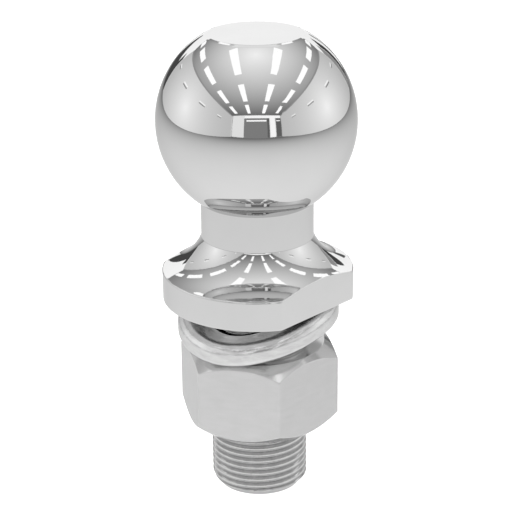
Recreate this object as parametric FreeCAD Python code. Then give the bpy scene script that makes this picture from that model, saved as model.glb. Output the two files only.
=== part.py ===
import FreeCAD, Part
import math
import os

# Trailer hitch ball on a threaded shank, with its split lock washer and hex nut.
# Millimetres, +Z up. The origin is on the shank axis, in the plane of the flange's
# underside, which is the face that sits on a ball mount.
# Azimuths are in degrees, from the front (-Y) towards +X.

# Ball and neck
ball_radius = 25.4
ball_centre_z = 47.2
top_flat_z = 69.45
top_flat_radius = 12.0
top_bevel_radius = 12.7
neck_radius = 14.45
neck_bottom_z = 16.85

# Flange
flange_radius = 24.7
flare_radius = 14.6
flare_start_deg = 20.7
rim_edge_break = 0.35
rim_top_drop = 0.4
wrench_flat_distance = 20.65
wrench_flat_azimuth = 47.0

# Shank
shank_radius = 12.7
shank_length = 53.0
plain_shank_length = 11.2
seat_fillet = 0.6
end_chamfer_height = 2.0
end_chamfer_depth = 1.6

# Thread, 1 inch with 14 turns to the inch, 60 degree flanks, right handed
pitch = 25.4 / 14
thread_major_radius = 12.54
thread_root_radius = 11.65
thread_root_width = 0.375
nut_bore_radius = 11.85
nut_root_radius = 12.9
thread_play = 0.15
flank_tangent = math.tan(math.radians(30))
groove_start_z = -shank_length - 1.5 * pitch
groove_end_z = -plain_shank_length - 0.85
thread_top_z = -plain_shank_length - (shank_radius - thread_major_radius)

# Lock washer, free, so its coil stands twice as high as its own thickness
washer_inner_radius = 13.55
washer_outer_radius = 21.05
washer_thickness = 6.0
washer_edge_radius = 1.5
contact_gap = 0.05
# Azimuth along the coil from its lower end to its upper end, and the height of its
# underside above the nut as a share of the coil's whole rise
coil_stations = [
    (-204, 0.00),
    (-185, 0.14),
    (-160, 0.33),
    (-125, 0.42),
    (-90, 0.34),
    (-60, 0.10),
    (-36, 0.00),
    (-15, 0.10),
    (5, 0.31),
    (30, 0.64),
    (50, 0.87),
    (75, 0.985),
    (105, 1.00),
    (148, 1.00),
]

# Hex nut
nut_across_flats = 37.3
nut_height = 22.2
nut_top_z = -12.5
nut_corner_azimuth = 14.0
nut_corner_radius = 0.5
nut_chamfer_deg = 39.0
nut_face_radius = 17.25
nut_countersink_radius = 13.2


def vector(x, y, z):
    return FreeCAD.Vector(x, y, z)


def at_azimuth(radius, azimuth, z):
    angle = math.radians(azimuth)
    return vector(radius * math.sin(angle), -radius * math.cos(angle), z)


def turned_solid(wire):
    face = Part.Face(wire)
    return face.revolve(vector(0, 0, 0), vector(0, 0, 1), 360)


def helical_bar(inner, outer, inner_width, outer_width, start_z, turns):
    # A bar of V-shaped section that winds round +Z, with its widths at two radii
    corners = [
        vector(inner, 0, start_z - inner_width / 2),
        vector(outer, 0, start_z - outer_width / 2),
        vector(outer, 0, start_z + outer_width / 2),
        vector(inner, 0, start_z + inner_width / 2),
    ]
    profile = Part.makePolygon(corners + [corners[0]])
    helix = Part.makeHelix(pitch, pitch * turns, (inner + outer) / 2)
    helix.translate(vector(0, 0, start_z))
    return Part.Wire(helix.Edges).makePipeShell([profile], True, True)


def outer_groove_width(radius):
    return thread_root_width + 2 * (radius - thread_root_radius) * flank_tangent


def nut_ridge_width(radius):
    return outer_groove_width(radius) - 2 * thread_play


def spline_line(start, end):
    # A straight run as a spline. Where a wrench flat cuts the face turned from it, the
    # edge is then a spline too, and not a hyperbola.
    run = Part.BezierCurve()
    run.setPoles([start, end])
    return run.toShape()


def flare_point(turn):
    # On the flare, where its tangent leans out from the vertical by this angle
    first = math.radians(flare_start_deg)
    return vector(
        neck_radius + flare_radius * (math.cos(first) - math.cos(turn)),
        0,
        neck_bottom_z - flare_radius * (math.sin(turn) - math.sin(first)),
    )


def stud_profile():
    # Half section of the forging above its thread, in the XZ plane, from the axis at
    # the thread's top round to the axis at the top flat
    neck_top_z = ball_centre_z - math.sqrt(ball_radius**2 - neck_radius**2)
    rim_inner_x = flange_radius - rim_edge_break
    flare_first = math.radians(flare_start_deg)
    flare_reach = (rim_inner_x - neck_radius) / flare_radius
    flare_last = math.acos(math.cos(flare_first) - flare_reach)
    flare_top = flare_point(flare_first)
    flare_mid = flare_point((flare_first + flare_last) / 2)
    flare_end = flare_point(flare_last)
    bevel_z = ball_centre_z + math.sqrt(ball_radius**2 - top_bevel_radius**2)
    fillet_mid = seat_fillet * (1 - math.sqrt(0.5))

    lower = [
        vector(0, 0, thread_top_z),
        vector(thread_major_radius, 0, thread_top_z),
        vector(shank_radius, 0, -plain_shank_length),
        vector(shank_radius, 0, -seat_fillet),
    ]
    seat_inner = vector(shank_radius + seat_fillet, 0, 0)
    seat_outer = vector(rim_inner_x, 0, 0)
    rim_low = vector(flange_radius, 0, rim_edge_break)
    rim_high = vector(flange_radius, 0, flare_end.z - rim_top_drop)
    neck_top = vector(neck_radius, 0, neck_top_z)
    bevel_outer = vector(top_bevel_radius, 0, bevel_z)
    equator = vector(ball_radius, 0, ball_centre_z)
    flat_outer = vector(top_flat_radius, 0, top_flat_z)
    flat_centre = vector(0, 0, top_flat_z)

    edges = []
    for start, end in zip(lower[:-1], lower[1:]):
        edges.append(Part.makeLine(start, end))
    seat_arc_mid = vector(shank_radius + fillet_mid, 0, -fillet_mid)
    edges.append(Part.Arc(lower[-1], seat_arc_mid, seat_inner).toShape())
    edges.append(Part.makeLine(seat_inner, seat_outer))
    edges.append(spline_line(seat_outer, rim_low))
    edges.append(Part.makeLine(rim_low, rim_high))
    edges.append(spline_line(rim_high, flare_end))
    edges.append(Part.Arc(flare_end, flare_mid, flare_top).toShape())
    edges.append(Part.makeLine(flare_top, neck_top))
    edges.append(Part.Arc(neck_top, equator, bevel_outer).toShape())
    edges.append(Part.makeLine(bevel_outer, flat_outer))
    edges.append(Part.makeLine(flat_outer, flat_centre))
    edges.append(Part.makeLine(flat_centre, lower[0]))
    return Part.Wire(edges)


def wrench_flat_cutter(azimuth):
    # A block that stands outside the wrench flat and reaches above the flare
    block = Part.makeBox(60, 20, 17)
    block.translate(vector(-30, -wrench_flat_distance - 20, -1))
    block.rotate(vector(0, 0, 0), vector(0, 0, 1), azimuth)
    return block


def make_threaded_shank():
    # The groove is cut in a plain bar first, and the bar's end is chamfered after it
    length = thread_top_z + shank_length
    bar = Part.makeCylinder(thread_major_radius, length, vector(0, 0, -shank_length))
    open_radius = thread_major_radius + 0.15
    groove = helical_bar(
        thread_root_radius,
        open_radius,
        outer_groove_width(thread_root_radius),
        outer_groove_width(open_radius),
        groove_start_z,
        (groove_end_z - groove_start_z) / pitch,
    )
    threaded = bar.cut(groove)
    if bar.Volume - threaded.Volume < 1000:
        raise ValueError("the thread's groove was not cut")

    lean = end_chamfer_depth / end_chamfer_height
    inner = thread_major_radius - end_chamfer_depth - lean
    outer = thread_major_radius + 2 * lean
    envelope = [
        vector(0, 0, -shank_length - 1),
        vector(inner, 0, -shank_length - 1),
        vector(outer, 0, -shank_length + end_chamfer_height + 2),
        vector(outer, 0, thread_top_z + 1),
        vector(0, 0, thread_top_z + 1),
    ]
    return threaded.common(turned_solid(Part.makePolygon(envelope + [envelope[0]])))


def make_ball_stud():
    head = turned_solid(stud_profile())
    head = head.cut(wrench_flat_cutter(wrench_flat_azimuth))
    head = head.cut(wrench_flat_cutter(wrench_flat_azimuth + 180))
    shank = make_threaded_shank()
    stud = head.fuse(shank)
    if abs(stud.Volume - head.Volume - shank.Volume) > 1:
        raise ValueError("the shank was not joined to the head")
    return stud


def make_hex_nut():
    corner = nut_across_flats / math.sqrt(3)
    bottom_z = nut_top_z - nut_height
    points = []
    for side in range(7):
        points.append(at_azimuth(corner, nut_corner_azimuth + 60 * side, bottom_z))
    nut = Part.Face(Part.makePolygon(points)).extrude(vector(0, 0, nut_height))
    uprights = [edge for edge in nut.Edges if edge.BoundBox.ZLength > nut_height - 1]
    nut = nut.makeFillet(nut_corner_radius, uprights)

    reach = corner + 2
    drop = (reach - nut_face_radius) * math.tan(math.radians(nut_chamfer_deg))
    envelope = [
        vector(0, 0, bottom_z),
        vector(nut_face_radius, 0, bottom_z),
        vector(reach, 0, bottom_z + drop),
        vector(reach, 0, nut_top_z - drop),
        vector(nut_face_radius, 0, nut_top_z),
        vector(0, 0, nut_top_z),
    ]
    nut = nut.common(turned_solid(Part.makePolygon(envelope + [envelope[0]])))

    # Plain bore at the thread's root, opened a little at both faces
    sink = nut_countersink_radius - nut_root_radius
    bore = [
        vector(0, 0, bottom_z),
        vector(nut_countersink_radius, 0, bottom_z),
        vector(nut_root_radius, 0, bottom_z + sink),
        vector(nut_root_radius, 0, nut_top_z - sink),
        vector(nut_countersink_radius, 0, nut_top_z),
        vector(0, 0, nut_top_z),
    ]
    nut = nut.cut(turned_solid(Part.makePolygon(bore + [bore[0]])))
    return nut.fuse(nut_ridge(bottom_z))


def nut_ridge(bottom_z):
    # The inside thread: a ridge that follows the middle of the shank's groove and is
    # trimmed to the countersinks at both faces
    outer = nut_root_radius + 0.12
    skipped = math.floor((bottom_z - 1.5 * pitch - groove_start_z) / pitch)
    start_z = groove_start_z + skipped * pitch
    turns = math.ceil((nut_top_z + pitch - start_z) / pitch)
    ridge = helical_bar(
        nut_bore_radius,
        outer,
        nut_ridge_width(nut_bore_radius),
        nut_ridge_width(outer),
        start_z,
        turns,
    )
    inner = nut_bore_radius - 0.4
    limit = outer + 0.1
    rise_inner = nut_countersink_radius - inner
    rise_outer = nut_countersink_radius - limit
    ring = [
        vector(inner, 0, bottom_z + rise_inner),
        vector(limit, 0, bottom_z + rise_outer),
        vector(limit, 0, nut_top_z - rise_outer),
        vector(inner, 0, nut_top_z - rise_inner),
    ]
    return ridge.common(turned_solid(Part.makePolygon(ring + [ring[0]])))


def rounded_section(azimuth, centre_z):
    # The washer's bar: an upright rectangle with rounded corners at one azimuth
    r = washer_edge_radius
    half = washer_thickness / 2
    k = r * (1 - math.sqrt(0.5))
    low = centre_z - half
    high = centre_z + half
    inner = washer_inner_radius
    outer = washer_outer_radius
    small = 0.6
    s = small * (1 - math.sqrt(0.5))

    def p(radius, z):
        return at_azimuth(radius, azimuth, z)

    edges = [
        Part.makeLine(p(inner + small, low), p(outer - r, low)),
        Part.Arc(p(outer - r, low), p(outer - k, low + k), p(outer, low + r)).toShape(),
        Part.makeLine(p(outer, low + r), p(outer, high - r)),
        Part.Arc(p(outer, high - r), p(outer - k, high - k), p(outer - r, high)).toShape(),
        Part.makeLine(p(outer - r, high), p(inner + small, high)),
        Part.Arc(p(inner + small, high), p(inner + s, high - s), p(inner, high - small)).toShape(),
        Part.makeLine(p(inner, high - small), p(inner, low + small)),
        Part.Arc(p(inner, low + small), p(inner + s, low + s), p(inner + small, low)).toShape(),
    ]
    return Part.Wire(edges)


def coil_share(azimuth):
    # A smooth height along the coil that never leaves the range of its stations
    for (a0, h0), (a1, h1) in zip(coil_stations[:-1], coil_stations[1:]):
        if azimuth <= a1:
            break
    index = coil_stations.index((a0, h0))
    before = coil_stations[max(index - 1, 0)]
    after = coil_stations[min(index + 2, len(coil_stations) - 1)]
    middle = (h1 - h0) / (a1 - a0)
    slope_before = (h0 - before[1]) / (a0 - before[0]) if index > 0 else middle
    slope_after = (after[1] - h1) / (after[0] - a1) if after[0] > a1 else middle
    m0 = (slope_before + middle) / 2 if slope_before * middle > 0 else 0.0
    m1 = (slope_after + middle) / 2 if slope_after * middle > 0 else 0.0
    span = a1 - a0
    t = (azimuth - a0) / span
    return (
        h0 * (2 * t**3 - 3 * t**2 + 1)
        + m0 * span * (t**3 - 2 * t**2 + t)
        + h1 * (3 * t**2 - 2 * t**3)
        + m1 * span * (t**3 - t**2)
    )


def make_lock_washer():
    low = nut_top_z + washer_thickness / 2 + contact_gap
    high = -washer_thickness / 2 - contact_gap
    first = coil_stations[0][0]
    last = coil_stations[-1][0]
    steps = 44
    middle_radius = (washer_inner_radius + washer_outer_radius) / 2
    points = []
    for step in range(steps + 1):
        azimuth = first + (last - first) * step / steps
        share = min(max(coil_share(azimuth), 0.0), 1.0)
        points.append(at_azimuth(middle_radius, azimuth, low + (high - low) * share))
    curve = Part.BSplineCurve()
    curve.interpolate(points)
    sweep = Part.BRepOffsetAPI.MakePipeShell(Part.Wire(curve.toShape()))
    sweep.setBiNormalMode(vector(0, 0, 1))
    sweep.add(rounded_section(first, low), False, False)
    sweep.build()
    sweep.makeSolid()
    return sweep.shape()


def one_solid(shape):
    solid = shape.Solids[0]
    if len(shape.Solids) != 1 or not solid.isValid() or solid.Volume <= 0:
        raise ValueError("a piece is not one sound solid")
    return solid


def main():
    pieces = {
        "ball_stud": make_ball_stud(),
        "lock_washer": make_lock_washer(),
        "hex_nut": make_hex_nut(),
    }
    for name, shape in pieces.items():
        one_solid(shape).exportStep("parts/" + name + ".step")


main()
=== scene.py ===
import math

import bmesh
import bpy
from mathutils import Euler, Matrix, Vector


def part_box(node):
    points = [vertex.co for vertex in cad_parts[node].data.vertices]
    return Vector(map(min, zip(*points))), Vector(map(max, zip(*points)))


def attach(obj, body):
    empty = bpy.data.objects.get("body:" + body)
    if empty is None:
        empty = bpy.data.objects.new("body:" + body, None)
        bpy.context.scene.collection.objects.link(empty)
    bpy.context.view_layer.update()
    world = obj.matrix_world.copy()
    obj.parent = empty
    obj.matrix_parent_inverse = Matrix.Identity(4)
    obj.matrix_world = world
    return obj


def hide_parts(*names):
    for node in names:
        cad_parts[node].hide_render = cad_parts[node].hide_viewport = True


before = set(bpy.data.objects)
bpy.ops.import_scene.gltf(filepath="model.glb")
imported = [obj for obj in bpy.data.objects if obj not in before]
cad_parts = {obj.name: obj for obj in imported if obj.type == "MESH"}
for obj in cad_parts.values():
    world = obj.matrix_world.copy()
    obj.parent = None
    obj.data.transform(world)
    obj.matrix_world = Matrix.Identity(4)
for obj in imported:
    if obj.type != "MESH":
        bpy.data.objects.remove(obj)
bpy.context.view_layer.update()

# Trailer hitch ball: a chromed ball stud, its split lock washer and its hex nut.
# Shapes are worked out in millimetres about the shank axis, from the flange's underside
# up, and placed on the CAD part in metres. Angles run from +X towards +Y.
MM = 0.001
PITCH = 25.4 / 14
SHARP_ANGLE = math.radians(28)
CLOSEST_COLUMNS = math.radians(0.06)
LONG_EDGE = 1.5

# In metres: points closer than this are welded, and edges shorter than this dissolved
WELD = 2e-7
SLIVER = 1e-7

stud_low, stud_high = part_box("ball_stud")
nut_low, nut_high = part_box("hex_nut")
washer_low, washer_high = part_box("lock_washer")

TOP_FLAT_Z = 69.45
ORIGIN = Vector(
    (
        (stud_low.x + stud_high.x) / 2,
        (stud_low.y + stud_high.y) / 2,
        stud_high.z - TOP_FLAT_Z * MM,
    )
)

# Ball and neck; the ball is held a hair inside the CAD ball's facets
BALL_RADIUS = min(stud_high.x - stud_low.x, stud_high.y - stud_low.y) / 2 / MM - 0.0005
BALL_Z = 47.2
FLAT_RADIUS = 12.0
BEVEL_RADIUS = 12.7
NECK_RADIUS = 14.45
NECK_BOTTOM_Z = 16.85

# Flange
FLANGE_RADIUS = 24.7
FLARE_RADIUS = 14.6
FLARE_START = math.radians(20.7)
FLAT_DISTANCE = 20.65
FLAT_ANGLES = (math.radians(-43), math.radians(137))
# The corners where a wrench flat meets the round rim: how tight, and how far they reach
CORNER_TURN = math.acos(FLAT_DISTANCE / FLANGE_RADIUS)
CORNER_TIGHTNESS = 14.0
CORNER_REACH = 1.2
# Upper edge softer on the round rim than on the flats, then the edge and fillet below
ROUND_EDGE = 0.36
FLAT_EDGE = 0.18
EDGE_CHANGE_DEPTH = 0.6
SEAT_EDGE = 0.35
SEAT_FILLET = 0.6

# Shank and its thread
SHANK_RADIUS = 12.7
SHANK_END_Z = -53.0
PLAIN_SHANK_Z = -11.2
THREAD_FINISH_Z = -11.3
THREAD_TOP_Z = -11.36
THREAD_RADIUS = 12.54
ROOT_RADIUS = 11.65
END_CHAMFER_HEIGHT = 2.0
END_CHAMFER_SLOPE = 0.8
END_RADIUS = THREAD_RADIUS - END_CHAMFER_HEIGHT * END_CHAMFER_SLOPE
GROOVE_START_Z = SHANK_END_Z - 1.5 * PITCH
GROOVE_FADE_Z = -12.0
GROOVE_FADE_HEIGHT = 1.1

# Nut
NUT_TOP_Z = (nut_high.z - ORIGIN.z) / MM
NUT_BOTTOM_Z = (nut_low.z - ORIGIN.z) / MM
NUT_HALF_FLATS = 18.65
NUT_FACE_RADIUS = 17.25
NUT_CHAMFER = math.tan(math.radians(39))
NUT_CORNER_ANGLE = math.radians(-76)
NUT_CORNER_RADIUS = 0.5
NUT_RIM_EDGE = 0.12
NUT_FLAT_EDGE = 0.16
NUT_SINK_RADIUS = 13.2
NUT_BORE_RADIUS = 11.85
NUT_ROOT_RADIUS = 12.9

# Lock washer
WASHER_INNER = 13.55
WASHER_OUTER = 21.05
WASHER_THICKNESS = 6.0
WASHER_UPPER_EDGE = 2.8
WASHER_LOWER_EDGE = 1.5
WASHER_INSIDE_EDGE = 0.6
WASHER_BOTTOM_Z = (washer_low.z - ORIGIN.z) / MM
WASHER_RISE = (washer_high.z - washer_low.z) / MM - WASHER_THICKNESS
# Degrees along the coil, from the front towards +X, and the share of the rise there
COIL = [
    (-204, 0.00),
    (-185, 0.14),
    (-160, 0.33),
    (-125, 0.42),
    (-90, 0.34),
    (-60, 0.10),
    (-36, 0.00),
    (-15, 0.10),
    (5, 0.31),
    (30, 0.64),
    (50, 0.87),
    (75, 0.985),
    (105, 1.00),
    (148, 1.00),
]

# The room that the chrome mirrors, in metres: its ceiling's height above the ball's
# centre, and its floor's depth below the flange's underside
ROOM_HEIGHT = 0.8
FLOOR_DROP = 0.0775

# The camera's place in metres from the middle of the flange's underside, and its aim
CAMERA_BACK = 0.4215
CAMERA_HEIGHT = 0.1761
CAMERA_PITCH = math.radians(21.44)
CAMERA_YAW = math.radians(0.06)
CAMERA_ROLL = math.radians(-0.56)
CAMERA_LENS = 123.5


# ---------------------------------------------------------------- profiles and meshes


def polar(radius, angle, z):
    """The point at this radius, angle and height."""
    return (radius * math.cos(angle), radius * math.sin(angle), z)


def columns(count, corners, spread):
    """Angles round the axis: evenly spaced, with extra ones close round each corner."""
    turn = 2 * math.pi
    angles = {round(turn * i / count, 9) for i in range(count)}
    for corner in corners:
        for offset in spread:
            angles.add(round((corner + math.radians(offset)) % turn, 9))
    ordered = sorted(angles)
    kept = [ordered[0]]
    for angle in ordered[1:]:
        if angle - kept[-1] > CLOSEST_COLUMNS:
            kept.append(angle)
    return kept


def arc(centre, radius, start, end, steps):
    """Points (r, z) along an arc, both ends included."""
    points = []
    for i in range(steps + 1):
        angle = start + (end - start) * i / steps
        points.append(
            (centre[0] + radius * math.cos(angle), centre[1] + radius * math.sin(angle))
        )
    return points


def curve(start, control, end, steps):
    """Points (r, z) after the start of a bend from start to end that leans on control."""
    points = []
    for i in range(1, steps + 1):
        t = i / steps
        a, b, c = (1 - t) ** 2, 2 * t * (1 - t), t * t
        points.append(
            (
                a * start[0] + b * control[0] + c * end[0],
                a * start[1] + b * control[1] + c * end[1],
            )
        )
    return points


def line(start, end, shares):
    """Points (r, z) after the start of a straight run, at these shares of its length."""
    return [
        (start[0] + (end[0] - start[0]) * t, start[1] + (end[1] - start[1]) * t)
        for t in shares
    ]


def bridge(verts, faces, lower, upper):
    """Faces between two closed rings of vertex numbers, or a ring and a single point."""
    n = max(len(lower), len(upper))
    for i in range(n):
        j = (i + 1) % n
        if len(lower) == 1:
            faces.append((lower[0], upper[j], upper[i]))
        elif len(upper) == 1:
            faces.append((lower[i], lower[j], upper[0]))
        else:
            faces.append((lower[i], lower[j], upper[j], upper[i]))


def revolve(verts, faces, angles, profiles):
    """Skin the profile of each angle; every profile has the same number of points."""
    rings = []
    for row in range(len(profiles[0])):
        ring = []
        if all(profile[row][0] == 0 for profile in profiles):
            ring.append(len(verts))
            verts.append((0.0, 0.0, profiles[0][row][1]))
        else:
            for angle, profile in zip(angles, profiles):
                ring.append(len(verts))
                verts.append(polar(profile[row][0], angle, profile[row][1]))
        rings.append(ring)
    for lower, upper in zip(rings[:-1], rings[1:]):
        bridge(verts, faces, lower, upper)


def thread_skin(verts, faces, angles, tooth, start_z, low_z, high_z, shape):
    """A helical thread between two heights, its rows following the helix.

    tooth is one pitch of the section as (rise, radius) from the middle of the groove, and
    shape(radius, z, groove_z) trims the radius to the end chamfers and the run-out.
    """
    first = math.floor((low_z - start_z) / PITCH) - 2
    last = math.ceil((high_z - start_z) / PITCH) + 1
    found = {}

    def vertex(column, angle, turn, step):
        rise, radius = tooth[step]
        groove_z = start_z + PITCH * (turn + angle / (2 * math.pi))
        if rise > PITCH / 2:
            groove_z += PITCH
            rise -= PITCH
        z = min(max(groove_z + rise, low_z), high_z)
        radius = shape(radius, z, groove_z)
        key = (column, round(z, 5), round(radius, 5))
        if key not in found:
            found[key] = len(verts)
            verts.append(polar(radius, angles[column], z))
        return found[key]

    count = len(angles)
    rows = [(turn, step) for turn in range(first, last + 1) for step in range(len(tooth))]
    for i in range(count):
        right = (i + 1) % count
        right_angle = angles[right] + (2 * math.pi if right == 0 else 0)
        for (t0, s0), (t1, s1) in zip(rows[:-1], rows[1:]):
            corners = [
                vertex(i, angles[i], t0, s0),
                vertex(right, right_angle, t0, s0),
                vertex(right, right_angle, t1, s1),
                vertex(i, angles[i], t1, s1),
            ]
            ring = [c for k, c in enumerate(corners) if c != corners[k - 1]]
            if len(set(ring)) == len(ring) and len(ring) > 2:
                faces.append(tuple(ring))


def make_piece(name, verts, faces, materials, pick=None):
    """A mesh object on the CAD part's place, smooth with its sharp edges kept."""
    mesh = bpy.data.meshes.new(name)
    mesh.from_pydata([ORIGIN + Vector(v) * MM for v in verts], [], faces)
    work = bmesh.new()
    work.from_mesh(mesh)
    bmesh.ops.remove_doubles(work, verts=work.verts, dist=WELD)
    bmesh.ops.dissolve_degenerate(work, edges=work.edges, dist=SLIVER)
    bmesh.ops.recalc_face_normals(work, faces=work.faces)
    for face in work.faces:
        face.smooth = True
        if pick is not None:
            face.material_index = pick((face.calc_center_median() - ORIGIN) / MM)
    work.to_mesh(mesh)
    work.free()
    mesh.set_sharp_from_angle(angle=SHARP_ANGLE)
    for material in materials:
        mesh.materials.append(material)
    piece = bpy.data.objects.new(name, mesh)
    bpy.context.scene.collection.objects.link(piece)
    even = piece.modifiers.new("even_normals", "WEIGHTED_NORMAL")
    even.keep_sharp = True
    return piece


# ---------------------------------------------------------------- the ball stud


def flange_reach(angle):
    """The flange's radius at this angle, with its two wrench flats cut across it."""
    reach = FLANGE_RADIUS
    for middle in FLAT_ANGLES:
        off = math.remainder(angle - middle, 2 * math.pi)
        if abs(off) < math.radians(60):
            flat = FLAT_DISTANCE / math.cos(off)
            if abs(flat - FLANGE_RADIUS) < CORNER_REACH:
                total = math.exp(-CORNER_TIGHTNESS * (FLANGE_RADIUS - flat)) + 1
                reach = flat - math.log(total) / CORNER_TIGHTNESS
            else:
                reach = min(reach, flat)
    return reach


def flare_turn(radius):
    """How far the flare leans out from the vertical where it reaches this radius."""
    return math.acos(math.cos(FLARE_START) - (radius - NECK_RADIUS) / FLARE_RADIUS)


def flare_point(turn):
    """The point (r, z) of the flare that leans out this far."""
    return (
        NECK_RADIUS + FLARE_RADIUS * (math.cos(FLARE_START) - math.cos(turn)),
        NECK_BOTTOM_Z - FLARE_RADIUS * (math.sin(turn) - math.sin(FLARE_START)),
    )


def stud_profile(angle):
    """Points (r, z) from the middle of the top flat down to the start of the thread."""
    bevel_z = BALL_Z + math.sqrt(BALL_RADIUS**2 - BEVEL_RADIUS**2)
    flat_rim = (FLAT_RADIUS, TOP_FLAT_Z)
    bevel_rim = (BEVEL_RADIUS, bevel_z)
    points = [(0, TOP_FLAT_Z)]
    points += line(points[0], flat_rim, (0.2, 0.45, 0.7, 0.9, 0.985))
    points += line(flat_rim, bevel_rim, (0.0, 0.1, 0.5, 0.92))
    start = math.radians(60)
    end = -math.acos(NECK_RADIUS / BALL_RADIUS)
    points += arc((0, BALL_Z), BALL_RADIUS, start, end, 96)

    neck_top = points[-1]
    neck_bottom = (NECK_RADIUS, NECK_BOTTOM_Z)
    points += line(neck_top, neck_bottom, (0.02, 0.2, 0.5, 0.8, 0.98, 1.0))
    reach = flange_reach(angle)
    flatness = min(1.0, (FLANGE_RADIUS - reach) / EDGE_CHANGE_DEPTH)
    soft = ROUND_EDGE + (FLAT_EDGE - ROUND_EDGE) * flatness
    span = flare_turn(reach - soft) - FLARE_START
    for share in (0.005, 0.02) + tuple(i / 36 for i in range(1, 37)):
        points.append(flare_point(FLARE_START + span * share))
    before = points[-1]
    edge = flare_point(flare_turn(reach))
    after = (reach, edge[1] - soft)
    points += curve(before, edge, after, 6)
    low = (reach, SEAT_EDGE)
    points += line(after, low, (0.03, 0.25, 0.5, 0.75, 0.97, 1.0))
    seat_rim = (reach - SEAT_EDGE, 0.0)
    points += curve(low, (reach, 0.0), seat_rim, 5)
    fillet_rim = (SHANK_RADIUS + SEAT_FILLET, 0.0)
    fillet_centre = (SHANK_RADIUS + SEAT_FILLET, -SEAT_FILLET)
    points += line(seat_rim, fillet_rim, (0.03, 0.25, 0.5, 0.75, 0.97))
    points += arc(fillet_centre, SEAT_FILLET, math.radians(90), math.radians(180), 6)
    fillet_end = points[-1]
    points += line(fillet_end, (SHANK_RADIUS, PLAIN_SHANK_Z), (0.02, 0.3, 0.6, 0.98, 1.0))
    points.append((THREAD_RADIUS, THREAD_TOP_Z))
    return points


def stud_thread_shape(radius, z, groove_z):
    """Fades the groove out below the plain shank, and chamfers the shank's end."""
    depth = (GROOVE_FADE_Z - groove_z) / GROOVE_FADE_HEIGHT
    radius = THREAD_RADIUS - (THREAD_RADIUS - radius) * min(max(depth, 0.0), 1.0)
    below = max(0.0, SHANK_END_Z + END_CHAMFER_HEIGHT - z)
    return min(radius, THREAD_RADIUS - below * END_CHAMFER_SLOPE)


def mirrored(half):
    """One pitch of a tooth, from the first half of its points."""
    return half + [(PITCH - rise, radius) for rise, radius in reversed(half[1:-1])]


def build_ball_stud(chrome, thread_finish):
    """The forging in one skin, from the top flat to the end of the shank."""
    spread = (-1.3, -0.85, -0.55, -0.35, -0.17, 0, 0.17, 0.35, 0.55, 0.85, 1.3)
    corners = [flat + side * CORNER_TURN for flat in FLAT_ANGLES for side in (-1, 1)]
    angles = columns(168, corners, spread)
    verts, faces = [], []
    revolve(verts, faces, angles, [stud_profile(angle) for angle in angles])
    # Half a pitch: the root, the flank, the crest's rounding and the crest
    tooth = mirrored(
        [
            (0.0, ROOT_RADIUS),
            (0.12, ROOT_RADIUS),
            (0.2, ROOT_RADIUS + 0.05),
            (0.44, 12.087),
            (0.66, 12.466),
            (0.705, 12.52),
            (0.75, THREAD_RADIUS),
            (PITCH / 2, THREAD_RADIUS),
        ]
    )
    thread_skin(
        verts,
        faces,
        angles,
        tooth,
        GROOVE_START_Z,
        SHANK_END_Z,
        THREAD_TOP_Z,
        stud_thread_shape,
    )
    end = [(radius, SHANK_END_Z) for radius in (END_RADIUS, 8.0, 4.0, 0)]
    revolve(verts, faces, angles, [end] * len(angles))

    def finish_of(middle):
        return 1 if middle.z < THREAD_FINISH_Z else 0

    piece = make_piece("ball_stud_forging", verts, faces, [chrome, thread_finish], finish_of)
    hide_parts("ball_stud")
    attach(piece, "ball_stud")


# ---------------------------------------------------------------- the hex nut


def nut_reach(angle):
    """The hexagon's radius at this angle, its corners rounded a little."""
    off = math.remainder(angle - NUT_CORNER_ANGLE, math.radians(60))
    half = math.radians(30)
    centre = (NUT_HALF_FLATS - NUT_CORNER_RADIUS) / math.cos(half)
    round_width = NUT_CORNER_RADIUS * math.sin(half)
    round_reach = centre + NUT_CORNER_RADIUS * math.cos(half)
    if abs(off) < math.atan2(round_width, round_reach):
        across = centre * math.sin(off)
        return centre * math.cos(off) + math.sqrt(NUT_CORNER_RADIUS**2 - across**2)
    return NUT_HALF_FLATS / math.cos(half - abs(off))


def nut_profile(angle):
    """Points (r, z) over the outside, from the top countersink's rim to the bottom one's."""
    reach = nut_reach(angle)
    inner = (NUT_SINK_RADIUS, NUT_TOP_Z)
    rim = (NUT_FACE_RADIUS, NUT_TOP_Z)
    edge = (reach, NUT_TOP_Z - (reach - NUT_FACE_RADIUS) * NUT_CHAMFER)
    top = [inner]
    top += line(inner, rim, (0.03, 0.35, 0.7, 0.97))
    past_rim = (rim[0] + NUT_RIM_EDGE, rim[1] - NUT_RIM_EDGE * NUT_CHAMFER)
    top += curve((rim[0] - NUT_RIM_EDGE, rim[1]), rim, past_rim, 3)
    before = (edge[0] - NUT_FLAT_EDGE, edge[1] + NUT_FLAT_EDGE * NUT_CHAMFER)
    after = (edge[0], edge[1] - NUT_FLAT_EDGE)
    top += line(past_rim, before, (0.06, 0.3, 0.6, 0.94, 1.0))
    top += curve(before, edge, after, 5)
    middle_z = (NUT_TOP_Z + NUT_BOTTOM_Z) / 2
    top += line(after, (reach, middle_z), (0.03, 0.2, 0.6, 1.0))
    lower = [(r, NUT_TOP_Z + NUT_BOTTOM_Z - z) for r, z in reversed(top[:-1])]
    return top + lower


def nut_thread_shape(radius, z, groove_z):
    """Opens the bore's thread into a 45 degree countersink at both faces."""
    from_top = NUT_SINK_RADIUS - (NUT_TOP_Z - z)
    from_bottom = NUT_SINK_RADIUS - (z - NUT_BOTTOM_Z)
    return max(radius, from_top, from_bottom)


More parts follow.
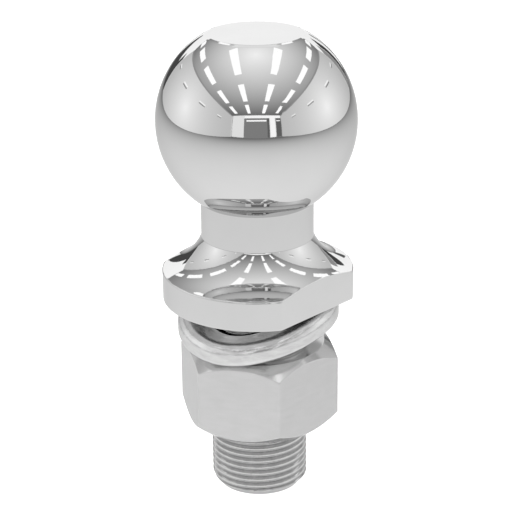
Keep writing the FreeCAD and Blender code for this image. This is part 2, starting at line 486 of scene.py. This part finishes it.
def build_hex_nut(finish):
    """The nut's outside and its threaded bore, which meet at the countersinks' rims."""
    corners = [NUT_CORNER_ANGLE + math.radians(60 * k) for k in range(6)]
    angles = columns(144, corners, (-1.6, -0.8, -0.5, -0.25, 0, 0.25, 0.5, 0.8, 1.6))
    verts, faces = [], []
    revolve(verts, faces, angles, [nut_profile(angle) for angle in angles])
    # Half a pitch: the bore, the flank and the thread's root
    tooth = mirrored(
        [
            (0.0, NUT_BORE_RADIUS),
            (0.1, NUT_BORE_RADIUS),
            (0.17, NUT_BORE_RADIUS + 0.04),
            (0.45, 12.365),
            (0.72, 12.833),
            (0.79, NUT_ROOT_RADIUS),
            (PITCH / 2, NUT_ROOT_RADIUS),
        ]
    )
    thread_skin(
        verts,
        faces,
        angles,
        tooth,
        GROOVE_START_Z,
        NUT_BOTTOM_Z,
        NUT_TOP_Z,
        nut_thread_shape,
    )
    piece = make_piece("hex_nut_plated", verts, faces, [finish])
    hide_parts("hex_nut")
    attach(piece, "hex_nut")


# ---------------------------------------------------------------- the lock washer


def coil_share(azimuth):
    """How far the coil has risen at this azimuth, smooth and within its stations."""
    index = 0
    while index < len(COIL) - 2 and azimuth > COIL[index + 1][0]:
        index += 1
    (a0, h0), (a1, h1) = COIL[index], COIL[index + 1]
    before = COIL[max(index - 1, 0)]
    after = COIL[min(index + 2, len(COIL) - 1)]
    middle = (h1 - h0) / (a1 - a0)
    slope_before = (h0 - before[1]) / (a0 - before[0]) if index > 0 else middle
    slope_after = (after[1] - h1) / (after[0] - a1) if after[0] > a1 else middle
    m0 = (slope_before + middle) / 2 if slope_before * middle > 0 else 0.0
    m1 = (slope_after + middle) / 2 if slope_after * middle > 0 else 0.0
    span = a1 - a0
    t = (azimuth - a0) / span
    share = (
        h0 * (2 * t**3 - 3 * t**2 + 1)
        + m0 * span * (t**3 - 2 * t**2 + t)
        + h1 * (3 * t**2 - 2 * t**3)
        + m1 * span * (t**3 - t**2)
    )
    return min(max(share, 0.0), 1.0)


def washer_section(inset):
    """The bar's section as (r, z) from its middle height, corners rounded."""
    half = WASHER_THICKNESS / 2 - inset
    inner = WASHER_INNER + inset
    outer = WASHER_OUTER - inset
    upper = WASHER_UPPER_EDGE - inset
    lower = WASHER_LOWER_EDGE - inset
    inside = WASHER_INSIDE_EDGE - inset
    quarter = math.radians(90)
    points = arc((outer - lower, -half + lower), lower, -quarter, 0, 8)
    points += arc((outer - upper, half - upper), upper, 0, quarter, 14)
    points += arc((inner + inside, half - inside), inside, quarter, 2 * quarter, 5)
    points += arc((inner + inside, -half + inside), inside, 2 * quarter, 3 * quarter, 5)
    supported = []
    for start, end in zip(points, points[1:] + points[:1]):
        supported.append(start)
        if math.dist(start, end) > LONG_EDGE:
            supported += line(start, end, (0.04, 0.35, 0.65, 0.96))
    return supported


def build_lock_washer(finish):
    """The bar swept along its coil, with eased edges at its two cut ends."""
    first, last = COIL[0][0], COIL[-1][0]
    count = 200
    stations = [first + (last - first) * i / count for i in range(1, count)]
    stations = [first, first + 0.12, first + 0.4] + stations + [last - 0.4, last - 0.12, last]
    end_insets = {0: 0.14, 1: 0.04}
    verts, faces, rings = [], [], []
    for place, azimuth in enumerate(stations):
        inset = end_insets.get(min(place, len(stations) - 1 - place), 0.0)
        middle_z = WASHER_BOTTOM_Z + WASHER_THICKNESS / 2 + WASHER_RISE * coil_share(azimuth)
        ring = []
        for radius, z in washer_section(inset):
            ring.append(len(verts))
            verts.append(polar(radius, math.radians(azimuth - 90), middle_z + z))
        rings.append(ring)
    for lower, upper in zip(rings[:-1], rings[1:]):
        bridge(verts, faces, lower, upper)
    faces.append(tuple(reversed(rings[0])))
    faces.append(tuple(rings[-1]))
    piece = make_piece("lock_washer_plated", verts, faces, [finish])
    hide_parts("lock_washer")
    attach(piece, "lock_washer")


# ---------------------------------------------------------------- materials


class Nodes:
    """A small helper that adds nodes and links them."""

    def __init__(self, name):
        self.material = bpy.data.materials.new(name)
        self.material.use_nodes = True
        self.tree = self.material.node_tree
        self.tree.nodes.clear()

    def add(self, kind, **settings):
        node = self.tree.nodes.new(kind)
        for key, value in settings.items():
            setattr(node, key, value)
        return node

    def link(self, source, target):
        self.tree.links.new(source, target)

    def math(self, operation, first, second=None):
        node = self.add("ShaderNodeMath", operation=operation)
        for socket, value in zip(node.inputs, (first, second)):
            if value is None:
                continue
            if isinstance(value, (int, float)):
                socket.default_value = value
            else:
                self.link(value, socket)
        return node.outputs[0]

    def noise(self, vector, scale, detail=4.0, roughness=0.55):
        node = self.add("ShaderNodeTexNoise")
        node.inputs["Scale"].default_value = scale
        node.inputs["Detail"].default_value = detail
        node.inputs["Roughness"].default_value = roughness
        self.link(vector, node.inputs["Vector"])
        return node.outputs["Fac"]

    def stretched(self, vector, scale):
        node = self.add("ShaderNodeMapping")
        node.inputs["Scale"].default_value = scale
        self.link(vector, node.inputs["Vector"])
        return node.outputs["Vector"]

    def around(self, vector):
        """Coordinates (radius, angle, z) about the shank axis, for marks that run round it."""
        parts = self.add("ShaderNodeSeparateXYZ")
        self.link(vector, parts.inputs[0])
        x, y, z = parts.outputs
        squares = self.math("ADD", self.math("MULTIPLY", x, x), self.math("MULTIPLY", y, y))
        joined = self.add("ShaderNodeCombineXYZ")
        self.link(self.math("SQRT", squares), joined.inputs[0])
        self.link(self.math("ARCTAN2", y, x), joined.inputs[1])
        self.link(z, joined.inputs[2])
        return joined.outputs[0]

    def spread(self, value, low, high, to_low, to_high):
        node = self.add("ShaderNodeMapRange")
        node.inputs["From Min"].default_value = low
        node.inputs["From Max"].default_value = high
        node.inputs["To Min"].default_value = to_low
        node.inputs["To Max"].default_value = to_high
        self.link(value, node.inputs["Value"])
        return node.outputs["Result"]

    def ramp(self, value, stops):
        node = self.add("ShaderNodeValToRGB")
        node.color_ramp.elements[0].position = stops[0][0]
        node.color_ramp.elements[0].color = (*stops[0][1], 1)
        node.color_ramp.elements[1].position = stops[-1][0]
        node.color_ramp.elements[1].color = (*stops[-1][1], 1)
        for position, colour in stops[1:-1]:
            node.color_ramp.elements.new(position).color = (*colour, 1)
        self.link(value, node.inputs["Fac"])
        return node.outputs["Color"]

    def edges(self, radius):
        """1 along sharp edges, 0 on open faces."""
        bevel = self.add("ShaderNodeBevel", samples=4)
        bevel.inputs["Radius"].default_value = radius
        geometry = self.add("ShaderNodeNewGeometry")
        dot = self.add("ShaderNodeVectorMath", operation="DOT_PRODUCT")
        self.link(bevel.outputs["Normal"], dot.inputs[0])
        self.link(geometry.outputs["Normal"], dot.inputs[1])
        return self.spread(dot.outputs["Value"], 0.995, 0.90, 0.0, 1.0)


def chrome_material():
    """Bright plating: a mirror with faint polishing marks, haze, and edges worn and painted
    brighter as a highlight.
    """
    n = Nodes("chrome_plate")
    coords = n.add("ShaderNodeTexCoord").outputs["Object"]
    shader = n.add("ShaderNodeBsdfPrincipled")
    shader.inputs["Metallic"].default_value = 1.0
    shader.inputs["Specular Tint"].default_value = (0.8, 0.8, 0.8, 1)
    out = n.add("ShaderNodeOutputMaterial")
    n.link(shader.outputs["BSDF"], out.inputs["Surface"])
    cloud = n.noise(coords, 60.0, 5.0)
    fine = n.noise(n.stretched(coords, (260, 260, 1500)), 1.0, 3.0)
    # Edge mask: sharp edges are mixed towards a lighter colour, partly edge wear and partly a
    # painted highlight
    wear_and_highlight = n.edges(0.0003)
    tone = n.ramp(cloud, [(0.3, (0.655, 0.655, 0.655)), (0.7, (0.685, 0.685, 0.684))])
    bright = n.add("ShaderNodeMix", data_type="RGBA", blend_type="MIX")
    n.link(n.math("MULTIPLY", wear_and_highlight, 0.5), bright.inputs["Factor"])
    n.link(tone, bright.inputs[6])
    bright.inputs[7].default_value = (0.8, 0.8, 0.79, 1)
    n.link(bright.outputs[2], shader.inputs["Base Color"])
    haze = n.math("MULTIPLY", n.math("POWER", cloud, 2.0), 0.05)
    marks = n.math("MULTIPLY", fine, 0.03)
    base = n.math("ADD", n.math("ADD", haze, marks), n.math("MULTIPLY", wear_and_highlight, 0.08))
    n.link(base, shader.inputs["Roughness"])
    bump = n.add("ShaderNodeBump")
    bump.inputs["Strength"].default_value = 0.04
    bump.inputs["Distance"].default_value = 0.00002
    n.link(n.noise(coords, 900.0, 3.0), bump.inputs["Height"])
    parts = n.add("ShaderNodeSeparateXYZ")
    n.link(coords, parts.inputs[0])
    # Turning marks below the neck and on the top flat, which fade between these heights
    flare_z, top_z = (0.0160, 0.0172), (0.0690, 0.0693)
    flare = n.spread(parts.outputs[2], *flare_z, 1.0, 0.0)
    top = n.spread(parts.outputs[2], *top_z, 0.0, 1.0)
    turned = n.add("ShaderNodeBump")
    turned.inputs["Distance"].default_value = 0.00001
    n.link(n.math("MULTIPLY", n.math("ADD", flare, top), 0.5), turned.inputs["Strength"])
    rings = n.noise(n.stretched(n.around(coords), (1500, 1.5, 1500)), 1.0, 4.0, 0.7)
    n.link(rings, turned.inputs["Height"])
    n.link(bump.outputs["Normal"], turned.inputs["Normal"])
    n.link(turned.outputs["Normal"], shader.inputs["Normal"])
    return n.material


def satin_material(name, tones, roughness, metallic, grain, streaks):
    """Satin plating: mottled zinc with drawn marks, and edges rubbed and painted brighter as a
    highlight.
    """
    n = Nodes(name)
    coords = n.add("ShaderNodeTexCoord").outputs["Object"]
    shader = n.add("ShaderNodeBsdfPrincipled")
    shader.inputs["Metallic"].default_value = metallic
    shader.inputs["Specular Tint"].default_value = (0.75, 0.75, 0.75, 1)
    out = n.add("ShaderNodeOutputMaterial")
    n.link(shader.outputs["BSDF"], out.inputs["Surface"])
    blotch = n.noise(coords, 140.0, 6.0, 0.6)
    drawn = n.noise(n.stretched(n.around(coords), grain), 1.0, 5.0, 0.6)
    # Edge mask: sharp edges are mixed towards a lighter colour, partly rubbed plating and partly a
    # painted highlight
    wear_and_highlight = n.edges(0.00035)
    mixed = n.math("ADD", n.math("MULTIPLY", blotch, 0.5), n.math("MULTIPLY", drawn, 0.5))
    tone = n.ramp(mixed, [(0.3, (tones[0],) * 3), (0.7, (tones[1],) * 3)])
    bright = n.add("ShaderNodeMix", data_type="RGBA", blend_type="MIX")
    n.link(n.math("MULTIPLY", wear_and_highlight, 0.6), bright.inputs["Factor"])
    n.link(tone, bright.inputs[6])
    bright.inputs[7].default_value = (0.84, 0.84, 0.83, 1)
    n.link(bright.outputs[2], shader.inputs["Base Color"])
    n.link(n.spread(mixed, 0.3, 0.7, *roughness), shader.inputs["Roughness"])
    fine = n.add("ShaderNodeBump")
    fine.inputs["Strength"].default_value = 0.12
    fine.inputs["Distance"].default_value = 0.00003
    n.link(n.noise(coords, 1300.0, 3.0), fine.inputs["Height"])
    rolled = n.add("ShaderNodeBump")
    rolled.inputs["Strength"].default_value = streaks
    rolled.inputs["Distance"].default_value = 0.0002
    n.link(drawn, rolled.inputs["Height"])
    n.link(fine.outputs["Normal"], rolled.inputs["Normal"])
    n.link(rolled.outputs["Normal"], shader.inputs["Normal"])
    return n.material


def thread_material():
    """Rolled thread: darker in its grooves as painted shade, brighter on its crests as rubbed
    plating and a painted highlight.
    """
    n = Nodes("plated_thread")
    coords = n.add("ShaderNodeTexCoord").outputs["Object"]
    shader = n.add("ShaderNodeBsdfPrincipled")
    shader.inputs["Metallic"].default_value = 1.0
    shader.inputs["Specular Tint"].default_value = (0.8, 0.8, 0.8, 1)
    out = n.add("ShaderNodeOutputMaterial")
    n.link(shader.outputs["BSDF"], out.inputs["Surface"])
    turned = n.around(coords)
    parts = n.add("ShaderNodeSeparateXYZ")
    n.link(turned, parts.inputs[0])
    grime = n.noise(n.stretched(turned, (300, 6, 500)), 1.0, 5.0, 0.6)
    uneven = n.math("MULTIPLY", n.math("SUBTRACT", grime, 0.5), 0.0014)
    height = n.math("ADD", parts.outputs[0], uneven)
    depth = n.spread(height, ROOT_RADIUS * MM, THREAD_RADIUS * MM, 0.0, 1.0)
    # Painted shade and highlight: the colour darkens towards the thread's roots and brightens
    # towards its crests
    tone = n.ramp(
        depth,
        [
            (0.0, (0.46, 0.46, 0.46)),
            (0.55, (0.53, 0.53, 0.53)),
            (0.86, (0.56, 0.56, 0.56)),
            (0.97, (0.61, 0.61, 0.605)),
        ],
    )
    n.link(tone, shader.inputs["Base Color"])
    n.link(n.spread(grime, 0.3, 0.7, 0.10, 0.24), shader.inputs["Roughness"])
    bump = n.add("ShaderNodeBump")
    bump.inputs["Strength"].default_value = 0.15
    bump.inputs["Distance"].default_value = 0.00006
    n.link(grime, bump.inputs["Height"])
    n.link(bump.outputs["Normal"], shader.inputs["Normal"])
    return n.material


# ---------------------------------------------------------------- stage


def glow_material(name, base, gain, fade):
    """Light that is strongest at the object's own origin and fades with distance."""
    n = Nodes(name)
    coords = n.add("ShaderNodeTexCoord").outputs["Object"]
    length = n.add("ShaderNodeVectorMath", operation="LENGTH")
    n.link(coords, length.inputs[0])
    level = n.math("EXPONENT", n.math("MULTIPLY", length.outputs["Value"], -fade))
    strength = n.math("ADD", n.math("MULTIPLY", level, gain), base)
    light = n.add("ShaderNodeEmission")
    out = n.add("ShaderNodeOutputMaterial")
    n.link(strength, light.inputs["Strength"])
    n.link(light.outputs["Emission"], out.inputs["Surface"])
    return n.material


def even_light(name, strength):
    """Light of one strength all over."""
    n = Nodes(name)
    light = n.add("ShaderNodeEmission")
    light.inputs["Strength"].default_value = strength
    out = n.add("ShaderNodeOutputMaterial")
    n.link(light.outputs["Emission"], out.inputs["Surface"])
    return n.material


def room_panel(name, origin, corners, material):
    """A flat panel that only mirrors see; corners are in room heights about the ball."""
    centre = ORIGIN + Vector((0, 0, BALL_Z * MM))
    place = centre + Vector(origin) * ROOM_HEIGHT
    points = [(Vector(c) - Vector(origin)) * ROOM_HEIGHT for c in corners]
    mesh = bpy.data.meshes.new(name)
    mesh.from_pydata(points, [], [(0, 1, 2, 3)])
    mesh.materials.append(material)
    panel = bpy.data.objects.new(name, mesh)
    panel.location = place
    panel.visible_camera = False
    panel.visible_diffuse = False
    panel.visible_shadow = False
    bpy.context.scene.collection.objects.link(panel)


def across(x0, x1, y0, y1, z):
    """The corners of a level rectangle."""
    return [(x0, y0, z), (x1, y0, z), (x1, y1, z), (x0, y1, z)]


def upright_x(x, y0, y1, z0, z1):
    """The corners of an upright rectangle that faces along X."""
    return [(x, y0, z0), (x, y1, z0), (x, y1, z1), (x, y0, z1)]


def upright_y(y, x0, x1, z0, z1):
    """The corners of an upright rectangle that faces along Y."""
    return [(x0, y, z0), (x1, y, z0), (x1, y, z1), (x0, y, z1)]


def build_room():
    """The long white room round the ball: lit ceiling panels, a door and a window."""
    # In room heights about the ball's centre: half the width, the back and the front
    half, back, front = 1.33, -2.5, 1.9
    lamp_z, wall_gap, slot_half = 0.99, 0.005, 0.13
    floor = -(BALL_Z * MM + FLOOR_DROP + 0.0004) / ROOM_HEIGHT
    ceiling = glow_material("room_ceiling", 0.0, 1.3, 0.9)
    walls = glow_material("room_walls", 0.70, 0.6, 1.67)
    ground = glow_material("room_floor", 0.0, 1.258, 1.0)
    lamp = even_light("room_lamp", 1.5)
    pale = even_light("room_pale", 1.08)
    far_white = even_light("room_far_white", 1.4)
    white = even_light("room_white", 1.35)
    grey = even_light("room_grey", 0.29)
    dark = even_light("room_dark", 0.16)
    black = even_light("room_black", 0.09)
    shade = even_light("room_shade", 0.4)

    room_panel("room_ceiling", (0, 0.05, 1), across(-half, half, back, front, 1), ceiling)
    room_panel("room_floor", (0, 0, floor + 0.25), across(-half, half, back, front, floor), ground)
    for side in (-1, 1):
        tag = "left" if side < 0 else "right"
        wall = side * half
        room_panel("wall_" + tag, (wall, 0, 0.25), upright_x(wall, back, front, floor, 1), walls)
        near = wall - side * wall_gap
        cove = upright_x(near, back, front, 0.95, 1)
        room_panel("cove_" + tag, (0, 0, 0), cove, shade)
        foot = upright_x(near, back, front, floor, floor + 0.012)
        room_panel("foot_" + tag, (0, 0, 0), foot, grey)
        inner, outer = sorted((side * 0.26, side * 0.40)), sorted((side * 0.89, side * 1.05))
        rows = ((0.85, 1.5), (-0.37, 0.3), (-1.3, -0.64), (-2.23, -1.5))
        for row, (start, end) in enumerate(rows):
            corners = across(inner[0], inner[1], start, end, lamp_z)
            room_panel("lamp_in_%s_%d" % (tag, row), (0, 0, 0), corners, lamp)
        for row, y in enumerate((1.4, 0.4, -0.5, -1.4)):
            slot = upright_x(near, y - slot_half, y + slot_half, 0.57, 0.6)
            room_panel("slot_%s_%d" % (tag, row), (0, 0, 0), slot, white)
            lip = upright_x(near, y - slot_half, y + slot_half, 0.53, 0.56)
            room_panel("lip_%s_%d" % (tag, row), (0, 0, 0), lip, shade)
        rows = ((1.4, 1.85), (0.53, 1.15), (-0.37, 0.24), (-1.28, -0.65), (-2.2, -1.52))
        for row, (start, end) in enumerate(rows):
            corners = across(outer[0], outer[1], start, end, lamp_z)
            room_panel("lamp_out_%s_%d" % (tag, row), (0, 0, 0), corners, lamp)

    def back_panel(name, x0, x1, z0, z1, lift, material):
        room_panel(name, (0, 0, 0), upright_y(back + lift, x0, x1, z0, z1), material)

    back_panel("back_wall", -half, half, floor, 1, 0, pale)
    back_panel("back_lintel", -0.6, 1.3, 0.85, 0.97, 0.004, white)
    back_panel("back_left", -1.3, -1.27, floor, 1, 0.004, shade)
    back_panel("back_right", 1.3, 1.33, floor, 1, 0.004, shade)
    back_panel("door", -0.62, 0.62, floor, 0.84, 0.006, grey)
    back_panel("door_edge", 0.53, 0.65, floor, 0.84, 0.008, dark)
    back_panel("door_bar", -0.5, 0.5, 0.67, 0.74, 0.01, lamp)
    back_panel("post", 0.69, 0.93, floor, 0.9, 0.006, white)
    back_panel("window", 0.97, 1.3, floor, 0.84, 0.006, dark)
    back_panel("window_bar", 1.0, 1.25, 0.67, 0.73, 0.01, white)
    back_panel("back_foot", -half, half, floor, floor + 0.03, 0.012, grey)

    def front_panel(name, x0, x1, z1, lift, material):
        room_panel(name, (0, 0, 0), upright_y(front - lift, x0, x1, floor, z1), material)

    front_panel("front_wall", -half, half, 1, 0, far_white)
    front_panel("front_left", -1.24, -0.47, 0.3, 0.006, black)
    front_panel("front_left_post", -1.3, -1.1, 0.56, 0.008, black)
    front_panel("front_right", 0.72, 0.98, 0.56, 0.006, black)
    front_panel("front_right_side", 1.0, 1.31, 0.72, 0.004, shade)
    front_panel("front_right_post", 0.43, 0.52, 0.22, 0.006, dark)
    glow = across(-0.3, 0.3, 0.42, 0.78, 0.985)
    room_panel("front_glow", (0, 0, 0), glow, pale)


def build_floor():
    """A plain pale floor, seen directly but not in the chrome."""
    n = Nodes("pale_floor")
    coords = n.add("ShaderNodeTexCoord").outputs["Object"]
    shader = n.add("ShaderNodeBsdfPrincipled")
    out = n.add("ShaderNodeOutputMaterial")
    tone = n.ramp(n.noise(coords, 14.0), [(0.3, (0.86, 0.86, 0.86)), (0.7, (0.88, 0.88, 0.88))])
    n.link(tone, shader.inputs["Base Color"])
    shader.inputs["Roughness"].default_value = 0.9
    shader.inputs["Specular IOR Level"].default_value = 0.0
    shader.inputs["Emission Color"].default_value = (1, 1, 1, 1)
    shader.inputs["Emission Strength"].default_value = 0.3
    n.link(shader.outputs["BSDF"], out.inputs["Surface"])
    mesh = bpy.data.meshes.new("pale_floor")
    size = 6.0
    z = ORIGIN.z - FLOOR_DROP
    corners = across(-size, size, -size, size, z)
    mesh.from_pydata(corners, [], [(0, 1, 2, 3)])
    mesh.materials.append(n.material)
    floor = bpy.data.objects.new("pale_floor", mesh)
    floor.visible_glossy = False
    bpy.context.scene.collection.objects.link(floor)


def build_lights():
    """An even white surround and two soft lamps that the chrome doesn't show."""
    world = bpy.data.worlds.new("studio")
    world.use_nodes = True
    world.node_tree.nodes["Background"].inputs["Color"].default_value = (1, 1, 1, 1)
    world.node_tree.nodes["Background"].inputs["Strength"].default_value = 1.0
    bpy.context.scene.world = world
    for name, place, size, power in (
        ("soft_left", (-0.4, -0.95, 0.8), 0.8, 16.0),
        ("soft_right", (0.7, -0.3, 0.9), 0.8, 0.6),
    ):
        light = bpy.data.lights.new(name, "AREA")
        light.shape = "DISK"
        light.size = size
        light.energy = power
        lamp = bpy.data.objects.new(name, light)
        lamp.location = ORIGIN + Vector(place)
        lamp.rotation_euler = (-Vector(place)).to_track_quat("-Z", "Y").to_euler()
        lamp.visible_glossy = False
        bpy.context.scene.collection.objects.link(lamp)


def build_camera():
    """The camera in front of the part, looking slightly down."""
    data = bpy.data.cameras.new("camera")
    data.lens = CAMERA_LENS
    data.sensor_width = 36.0
    data.clip_start = 0.01
    camera = bpy.data.objects.new("camera", data)
    place = Matrix.Translation(ORIGIN + Vector((0, -CAMERA_BACK, CAMERA_HEIGHT)))
    aim = Euler((math.radians(90) - CAMERA_PITCH, 0, CAMERA_YAW)).to_matrix().to_4x4()
    roll = Matrix.Rotation(CAMERA_ROLL, 4, "Z")
    camera.matrix_world = place @ aim @ roll
    bpy.context.scene.collection.objects.link(camera)
    bpy.context.scene.camera = camera


chrome = chrome_material()
thread_finish = thread_material()
washer_zinc = satin_material(
    "zinc_washer_plate", (0.54, 0.72), (0.08, 0.22), 0.92, (700, 5, 700), 0.5
)
nut_zinc = satin_material(
    "zinc_nut_plate", (0.48, 0.515), (0.09, 0.15), 0.8, (250, 4, 900), 0.01
)

build_ball_stud(chrome, thread_finish)
build_hex_nut(nut_zinc)
build_lock_washer(washer_zinc)
build_room()
build_floor()
build_lights()
build_camera()
bpy.context.scene.view_settings.view_transform = "Standard"
